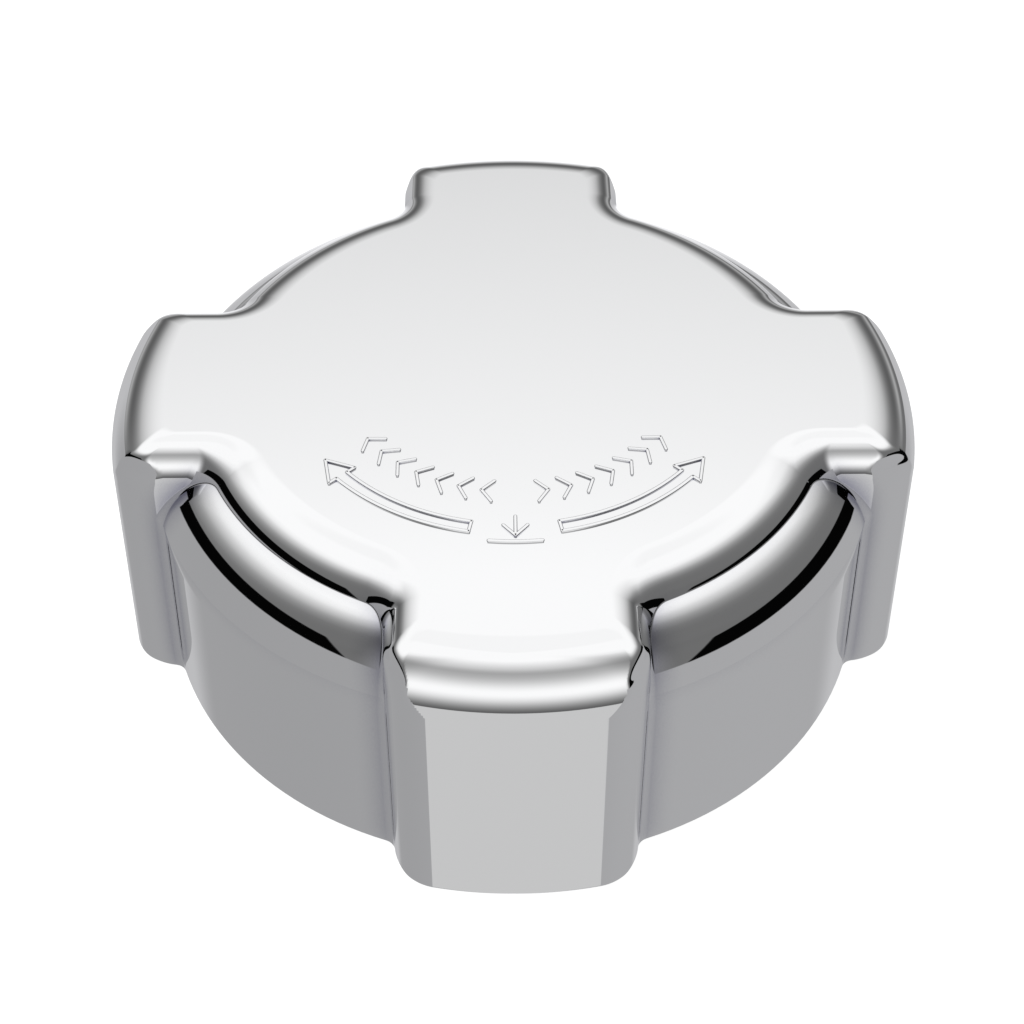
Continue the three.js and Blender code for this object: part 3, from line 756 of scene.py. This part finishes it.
def softened(node, width):
    """A copy of a CAD node with its sharp edges rounded off by a small width."""
    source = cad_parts[node]
    bm = bmesh.new()
    bm.from_mesh(source.data)
    bm.transform(source.matrix_world)
    bmesh.ops.remove_doubles(bm, verts=bm.verts, dist=0.000002)
    bmesh.ops.dissolve_limit(bm, angle_limit=math.radians(0.6), verts=bm.verts, edges=bm.edges)
    sharp = [edge for edge in bm.edges if edge.is_manifold and edge.calc_face_angle() > math.radians(36)]
    bmesh.ops.bevel(
        bm, geom=sharp, offset=width * MM, segments=2, profile=0.5, affect="EDGES", clamp_overlap=True)
    mesh = bpy.data.meshes.new(node + "_shape")
    bm.to_mesh(mesh)
    bm.free()
    made = bpy.data.objects.new(node + "_shape", mesh)
    bpy.context.scene.collection.objects.link(made)
    shade_by_angle(made)
    return made


# ---- the pieces ----

SCREW_CIRCLE = 55.3
SCREW_HEAD = 3.7
SCREW_SHAFT = 2.0
SCREW_LOW = 0.95
SCREW_UNDER = 2.95
SCREW_TOP = 41.0
CROSS_DEPTH = 1.1
CROSS_REACH = 2.1
CROSS_HALF_WIDTH = 0.4
BOSS_RADIUS = 3.7
PILOT_RADIUS = 2.2
BORE = 12.7
STEM_BODY = "seal_carrier"

MARK_RADIUS = 34.0
MARK_HALF_WIDTH = 0.32
LEG_HALF_WIDTH = MARK_HALF_WIDTH - 0.03  # straight strokes end just inside the curved ones
ARROW_INNER = 33.0
ARROW_OUTER = 35.0
HEAD_FLARE = 1.4
ARROW_START = 11        # degrees from the front
ARROW_NECK = 48
ARROW_TIP = 55
CHEVRON_RADIUS = 26.4
CHEVRON_HALF = 2.1
CHEVRON_START = 7
CHEVRON_STEP = 7.5
CHEVRON_POINT = 3.6
CHEVRONS = 7


def screw_places():
    for k in range(LOBES):
        angle = TAU * k / LOBES
        yield SCREW_CIRCLE * math.cos(angle), SCREW_CIRCLE * math.sin(angle)


def cover_bosses():
    """Posts inside the lobes, drilled for the cover screws."""
    boss = turned([
        (0, 43.6), (0, 42.5), (PILOT_RADIUS, 42.5, 0.2), (PILOT_RADIUS, 34.4, 0.2), (BOSS_RADIUS, 34.4, 0.4),
        (BOSS_RADIUS, 43.6, 0.4)], 48)
    surface = Surface()
    for x, y in screw_places():
        surface.add_surface(boss, x, y)
    return surface.mesh_object("cover_bosses")


def cover_screw(index, x, y):
    """Pan head screw with a cross recess, seen from below."""
    surface = Surface()
    surface.add_surface(turned([
        (0, SCREW_LOW), (SCREW_HEAD - 0.9, SCREW_LOW, 1.0), (SCREW_HEAD, SCREW_LOW + 0.9, 0.5),
        (SCREW_HEAD, SCREW_UNDER, 0.15), (SCREW_SHAFT, SCREW_UNDER, 0.2), (SCREW_SHAFT, SCREW_TOP - 2, 0.3),
        (0.4, SCREW_TOP, 0.15), (0, SCREW_TOP)], 48), x, y)
    screw = surface.mesh_object(f"cover_screw_{index}_shape")
    low, high = SCREW_LOW - 1, SCREW_LOW + CROSS_DEPTH
    arms = [box_mesh("arm", CROSS_REACH, CROSS_HALF_WIDTH, low, high),
            box_mesh("arm", CROSS_HALF_WIDTH, CROSS_REACH, low, high)]
    for arm in arms:
        arm.location = (x * MM, y * MM, 0)
    carved(screw, arms)
    shade_by_angle(screw)
    return screw


def neck_gasket():
    """Flat ring with two moulded sealing beads on each face."""
    return turned([
        (35, 10, 0.7), (37.6, 10, 0.3), (38.1, 10.35, 0.3), (41.4, 10.35, 0.3), (41.9, 10, 0.3),
        (44.5, 10, 0.7), (44.5, 12.9, 0.7), (41.9, 12.9, 0.3), (41.4, 12.6, 0.3), (38.1, 12.6, 0.3),
        (37.6, 12.9, 0.3), (35, 12.9, 0.7)])


def seal_disc():
    """Pressed disc that backs the gasket, with a shallow dished ring and a turned-down rim."""
    return turned([
        (BORE, 13, 0.1), (45.5, 13, 0.2), (45.5, 11.2, 0.15), (47, 11.2, 0.3), (47, 14.5, 0.9),
        (31.5, 14.5, 0.6), (30.5, 14.1, 0.6), (21.5, 14.1, 0.6), (20.5, 14.5, 0.6), (BORE, 14.5, 0.2)], 180)


def gasket_retainer():
    return turned([
        (BORE, 11.7, 0.2), (33.5, 11.7, 0.5), (33.5, 8.6, 0.2), (35.4, 8.6, 0.3), (35.4, 9.6, 0.2),
        (34.7, 9.6, 0.2), (34.7, 12.9, 0.6), (BORE, 12.9, 0.2)], 180)


def flat_ring(inner, outer, low, high, rounding):
    return turned([
        (inner, low, rounding), (outer, low, rounding), (outer, high, rounding), (inner, high, rounding)])


def o_ring(radius, section, height):
    corner = section * 0.995
    return turned([
        (radius - section, height - section, corner), (radius + section, height - section, corner),
        (radius + section, height + section, corner), (radius - section, height + section, corner)], 144, 8)


TURNED_PARTS = [
    ("thrust_washer", "slip_ring", "acetal", flat_ring(14, 20.5, 29.5, 30.95, 0.3)),
    ("seal_disc", STEM_BODY, "zinc_plate", seal_disc()),
    ("neck_gasket", STEM_BODY, "rubber", neck_gasket()),
    ("gasket_retainer", STEM_BODY, "zinc_plate", gasket_retainer()),
    ("housing_o_ring", STEM_BODY, "rubber", o_ring(15.3, 0.6, 10.95)),
    ("wear_washer", STEM_BODY, "acetal", flat_ring(12.75, 19, 37.1, 37.8, 0.15)),
    ("poppet_seal", "pressure_valve", "rubber", flat_ring(5.2, 8.7, 7.7, 8.9, 0.3)),
    ("vacuum_seal", "vacuum_valve", "rubber", flat_ring(2, 4.5, 7.6, 8.9, 0.3)),
    ("vacuum_keeper", "vacuum_valve", "spring_steel", flat_ring(1.9, 5.3, 15.1, 16.1, 0.2)),
]

SOFTENED_PARTS = [
    ("inner_body", "knob", "black_nylon", 0.25), ("bayonet_ring", "knob", "zinc_plate", 0.2),
    ("valve_housing", STEM_BODY, "brass", 0.12), ("housing_nut", STEM_BODY, "brass", 0.15),
    ("retaining_ring", STEM_BODY, "spring_steel", 0.1), ("vent_screen", STEM_BODY, "brass", 0.08),
    ("valve_plug", STEM_BODY, "brass", 0.12), ("pressure_poppet", "pressure_valve", "acetal", 0.1),
    ("vacuum_disc", "vacuum_valve", "brass", 0.1),
]

SPRINGS = [
    ("main_spring", STEM_BODY, "slip_ring", 16.0, 28.0,
     spring(26, 17.4, 1.1, 14.6, 29.4, 4.25, 0.6)),
    ("pressure_spring", "pressure_valve", STEM_BODY, 11.4, 23.2,
     spring(7.6, 7.6, 0.55, 10.7, 23.9, 6, 0.45)),
    ("vacuum_spring", "pressure_valve", "vacuum_valve", 11.2, 14.5,
     spring(4.5, 4.5, 0.35, 10.7, 15, 2.5, 0.3)),
]


def fit_spring(node, surface):
    """A coil that takes spring steel, stands for its CAD node and stays where it was built, riding on no
    body.
    """
    piece = surface.mesh_object(node + "_shape")
    piece.data.materials.append(MATERIALS["spring_steel"])
    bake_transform(piece)
    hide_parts(node)


def polar_path(radius, start, end, steps):
    """Points on a circle about the axis, with angles in degrees from the front."""
    angles = np.radians(np.linspace(start, end, steps) - 90)
    return np.column_stack([radius * np.cos(angles), radius * np.sin(angles)])


def polar_line(points, steps=3):
    """Straight legs between (radius, degrees from the front) points."""
    corners = [polar_path(radius, angle, angle, 1)[0] for radius, angle in points]
    return [np.linspace(a, b, steps) for a, b in zip(corners, corners[1:])]


def turn_marks():
    """Raised pictograms on the front half of the top: outlined turning arrows outside, chevrons inside."""
    surface = Surface()
    arcs, legs = [], []
    for side in (-1, 1):
        arcs.append(polar_path(ARROW_INNER, side * ARROW_START, side * ARROW_NECK, 48))
        arcs.append(polar_path(ARROW_OUTER, side * ARROW_START, side * ARROW_NECK, 48))
        legs += polar_line([(ARROW_INNER, side * ARROW_START), (ARROW_OUTER, side * ARROW_START)])
        legs += polar_line([
            (ARROW_INNER, side * ARROW_NECK), (ARROW_INNER - HEAD_FLARE, side * ARROW_NECK),
            (MARK_RADIUS, side * ARROW_TIP), (ARROW_OUTER + HEAD_FLARE, side * ARROW_NECK),
            (ARROW_OUTER, side * ARROW_NECK)])
        for k in range(CHEVRONS):
            tail = side * (CHEVRON_START + CHEVRON_STEP * k)
            legs += polar_line([
                (CHEVRON_RADIUS + CHEVRON_HALF, tail), (CHEVRON_RADIUS, tail + side * CHEVRON_POINT),
                (CHEVRON_RADIUS - CHEVRON_HALF, tail)])
    arcs.append(polar_path(MARK_RADIUS + 2.4, -6, 6, 16))
    legs += polar_line([(MARK_RADIUS - 2.6, 0), (MARK_RADIUS + 1.2, 0)])
    legs += polar_line([(MARK_RADIUS - 0.8, -3), (MARK_RADIUS + 1.2, 0), (MARK_RADIUS - 0.8, 3)])
    for lines, half_width in ((arcs, MARK_HALF_WIDTH), (legs, LEG_HALF_WIDTH)):
        for line in lines:
            surface.add_surface(stroke(line, half_width, HEIGHT - 0.1, HEIGHT + RELIEF))
    return surface


fit_out(cover_shell().mesh_object("cover_shell"), "knob", "chrome_shell", "outer_cover")
fit_out(cover_bosses(), "knob", "chrome_shell")
fit_out(turn_marks().mesh_object("turn_marks"), "knob", "chrome_shell")
for number, (screw_x, screw_y) in enumerate(screw_places(), 1):
    fit_out(cover_screw(number, screw_x, screw_y), "knob", "zinc_plate", f"cover_screw_{number}")
for node, body, finish, surface in TURNED_PARTS:
    fit_out(surface.mesh_object(node + "_shape"), body, finish, node)
for node, body, finish, width in SOFTENED_PARTS:
    fit_out(softened(node, width), body, finish, node)
for node, low_body, high_body, low_end, high_end, surface in SPRINGS:
    fit_spring(node, surface)


# ---- studio, angles in degrees ----

# greys on screen (0 to 255) by elevation; the side's is counted from the overhead box's edge
SIDE_GREYS = [(-30, 110), (-10, 120), (0, 170), (10, 230), (20, 255)]
FRONT_GREYS = [(-20, 90), (0, 200), (20, 255), (50, 170), (60, 200), (75, 255)]
BACK_GREYS = [(-30, 255), (-15, 250), (0, 160), (10, 95), (25, 180), (45, 250)]
BOX_EDGE = 34.5         # elevation of the overhead box's edge at the side
BOX_SLOPE = 0.48        # how much it rises per degree towards the front
BAND_MIDDLE = 6.0       # elevation of the black cards' middle at the side
BAND_HALF = 6.6         # half their height
BAND_START = 47.0       # from the front to where they start
BAND_GREY = 0.05
FRONT_TABLE_END = 27.0  # from the front to where the lighter part of the table ends
FRONT_TABLE_EDGE = -20  # elevation at which that part ends
FRONT_TABLE_GREY = 0.78
SIDE_TABLE_GREY = 0.64
BACK_TABLE_GREY = 0.74


def studio():
    """White overhead soft box, grey front card, black side cards and a pale table, as a world colour.

    az is measured from the front (-Y), so it is 0 in front and 180 behind. right goes from -1 at the
    left to 1 at the right, where the overhead box is a little higher and the cards a little lower.
    """
    world = bpy.data.worlds.new("studio")
    bpy.context.scene.world = world
    world.use_nodes = True
    tree = world.node_tree
    tree.nodes.clear()

    def node(kind, inputs, output=0, **settings):
        return add_node(tree, kind, inputs, output, **settings)

    def math_node(operation, a, b=0.0, c=0.0):
        return node("ShaderNodeMath", {0: a, 1: b, 2: c}, operation=operation)

    def remap(value, low, high, out_low, out_high, kind="LINEAR"):
        inputs = {"Value": value, "From Min": low, "From Max": high, "To Min": out_low, "To Max": out_high}
        return node("ShaderNodeMapRange", inputs, interpolation_type=kind)

    def mixed(share, a, b):
        return math_node("MULTIPLY_ADD", share, math_node("SUBTRACT", b, a), a)

    def ramp(value, low, high, stops):
        """Screen greys at elevations from low to high."""
        made = tree.nodes.new("ShaderNodeValToRGB")
        tree.links.new(remap(value, low, high, 0.0, 1.0), made.inputs[0])
        elements = made.color_ramp.elements
        while len(elements) > 1:
            elements.remove(elements[-1])
        made.color_ramp.interpolation = "CARDINAL"
        for i, (degrees, grey) in enumerate(stops):
            place = (degrees - low) / (high - low)
            element = elements[0] if i == 0 else elements.new(place)
            element.position = place
            element.color = rgb(grey / 255, grey / 255, grey / 255)
        return made.outputs[0]

    direction = node("ShaderNodeTexCoord", {}, "Generated")
    split = tree.nodes.new("ShaderNodeSeparateXYZ")
    tree.links.new(direction, split.inputs[0])
    x, y, z = split.outputs
    degrees = 180 / math.pi
    elevation = math_node("MULTIPLY", math_node("ARCSINE", z), degrees)
    around = math_node("MULTIPLY", math_node("ARCTAN2", x, math_node("MULTIPLY", y, -1.0)), degrees)
    az = math_node("ABSOLUTE", around)
    right = math_node("SINE", math_node("RADIANS", around))

    from_side = math_node("SUBTRACT", 90.0, math_node("MINIMUM", az, 112.0))
    box_edge = math_node("MULTIPLY_ADD", right, 3.0, BOX_EDGE)
    box_edge = math_node("MULTIPLY_ADD", from_side, BOX_SLOPE, box_edge)
    side = ramp(math_node("SUBTRACT", elevation, box_edge), -40, 40, SIDE_GREYS)
    front = ramp(elevation, -30, 90, FRONT_GREYS)
    behind = ramp(elevation, -40, 60, BACK_GREYS)
    in_front = remap(az, 25.0, 46.0, 1.0, 0.0, "SMOOTHSTEP")
    over_table = remap(elevation, -6.0, -1.0, 0.0, 1.0)
    at_back = math_node("MULTIPLY", over_table, remap(az, 118.0, 136.0, 0.0, 1.0, "SMOOTHSTEP"))
    at_back = math_node("MAXIMUM", at_back, remap(az, 158.0, 174.0, 0.0, 1.0, "SMOOTHSTEP"))
    upper = mixed(in_front, side, front)

    # the black cards: long curved bands to the left and the right, with hard edges and a slanted start
    band = math_node("MULTIPLY_ADD", from_side, -0.0025, 0.27)
    band = math_node("MULTIPLY_ADD", band, from_side, math_node("MULTIPLY_ADD", right, -4.7, BAND_MIDDLE))
    band_half = math_node("MULTIPLY_ADD", right, 0.7, BAND_HALF)
    band_foot = math_node("SUBTRACT", band, band_half)
    above_foot = math_node("SUBTRACT", elevation, band_foot)
    inner_end = math_node("MULTIPLY_ADD", above_foot, -0.7, math_node("SUBTRACT", az, BAND_START))
    in_card = math_node("MULTIPLY", remap(inner_end, -0.6, 0.6, 0.0, 1.0), remap(az, 121.0, 124.0, 1.0, 0.0))
    under_top = math_node("MULTIPLY_ADD", band_half, 2.0, math_node("MULTIPLY", above_foot, -1.0))
    in_card = math_node("MULTIPLY", in_card, remap(under_top, -0.4, 0.4, 0.0, 1.0))
    upper = mixed(in_card, upper, BAND_GREY)

    # the table reaches up to the cards; in front it ends lower and is lighter
    beside = remap(az, FRONT_TABLE_END - 0.5, FRONT_TABLE_END + 0.5, 0.0, 1.0)
    table_edge = mixed(beside, FRONT_TABLE_EDGE, band_foot)
    on_table = remap(math_node("SUBTRACT", elevation, table_edge), -0.5, 0.5, 1.0, 0.0)
    table_side = math_node("MULTIPLY_ADD", right, 0.02, SIDE_TABLE_GREY)
    table = mixed(beside, FRONT_TABLE_GREY, table_side)
    table = mixed(remap(az, 122.0, 140.0, 0.0, 1.0, "SMOOTHSTEP"), table, BACK_TABLE_GREY)
    grey = mixed(on_table, upper, table)
    grey = mixed(at_back, grey, behind)
    light = math_node("POWER", grey, 2.2)
    camera_ray = node("ShaderNodeLightPath", {}, "Is Camera Ray")
    light = mixed(camera_ray, light, 1.0)
    cool = math_node("MULTIPLY_ADD", math_node("MULTIPLY", on_table, beside), 0.02, 1.0)
    tinted = node("ShaderNodeCombineXYZ", {0: light, 1: light, 2: math_node("MULTIPLY", light, cool)})
    background = node("ShaderNodeBackground", {"Color": tinted, "Strength": 1.0})
    output = tree.nodes.new("ShaderNodeOutputWorld")
    tree.links.new(background, output.inputs[0])


def table_top():
    """A pale table the cap stands on, seen from above only, with a faint contact shadow."""
    reach, level = 30.0, -0.0001
    mesh = bpy.data.meshes.new("table_top")
    corners = [(-reach, -reach), (reach, -reach), (reach, reach), (-reach, reach)]
    mesh.from_pydata([(x, y, level) for x, y in corners], [], [(0, 1, 2, 3)])
    top = bpy.data.objects.new("table_top", mesh)
    bpy.context.scene.collection.objects.link(top)
    material = bpy.data.materials.new("pale_table")
    material.use_nodes = True
    tree = material.node_tree
    tree.nodes.clear()
    diffuse = tree.nodes.new("ShaderNodeBsdfDiffuse")
    diffuse.inputs["Color"].default_value = rgb(0.35, 0.35, 0.35)
    glow = tree.nodes.new("ShaderNodeEmission")
    glow.inputs["Strength"].default_value = 0.86
    both = tree.nodes.new("ShaderNodeAddShader")
    clear = tree.nodes.new("ShaderNodeBsdfTransparent")
    choose = tree.nodes.new("ShaderNodeMixShader")
    geometry = tree.nodes.new("ShaderNodeNewGeometry")
    output = tree.nodes.new("ShaderNodeOutputMaterial")
    tree.links.new(diffuse.outputs[0], both.inputs[0])
    tree.links.new(glow.outputs[0], both.inputs[1])
    tree.links.new(geometry.outputs["Backfacing"], choose.inputs[0])
    tree.links.new(both.outputs[0], choose.inputs[1])
    tree.links.new(clear.outputs[0], choose.inputs[2])
    tree.links.new(choose.outputs[0], output.inputs[0])
    mesh.materials.append(material)
    top.visible_glossy = False
    top.visible_diffuse = False


def soft_light():
    """A broad lamp high at the front left, which reflections don't show."""
    data = bpy.data.lights.new("soft_lamp", "AREA")
    data.energy = 4.0
    data.size = 0.8
    lamp = bpy.data.objects.new("soft_lamp", data)
    lamp.location = (-0.3, -0.3, 0.9)
    lamp.rotation_euler = (Vector((0, 0, 0.02)) - lamp.location).to_track_quat("-Z", "Y").to_euler()
    lamp.visible_glossy = False
    bpy.context.scene.collection.objects.link(lamp)


def camera():
    """A long lens that looks down at 45 degrees on the front lobe."""
    distance = 330 * MM
    elevation = math.radians(45)
    turn = math.radians(-0.5)
    aim = Vector((-0.2, 0.0, 17.0)) * MM
    data = bpy.data.cameras.new("camera")
    data.sensor_width = 36.0
    data.lens = 70.3
    made = bpy.data.objects.new("camera", data)
    level = math.cos(elevation)
    back = Vector((math.sin(turn) * level, -math.cos(turn) * level, math.sin(elevation)))
    made.location = aim + back * distance
    made.rotation_mode = "QUATERNION"
    made.rotation_quaternion = (-back).to_track_quat("-Z", "Y")
    data.clip_start = 0.01
    bpy.context.scene.collection.objects.link(made)
    bpy.context.scene.camera = made


studio()
table_top()
soft_light()
camera()
bpy.context.scene.view_settings.view_transform = "Standard"
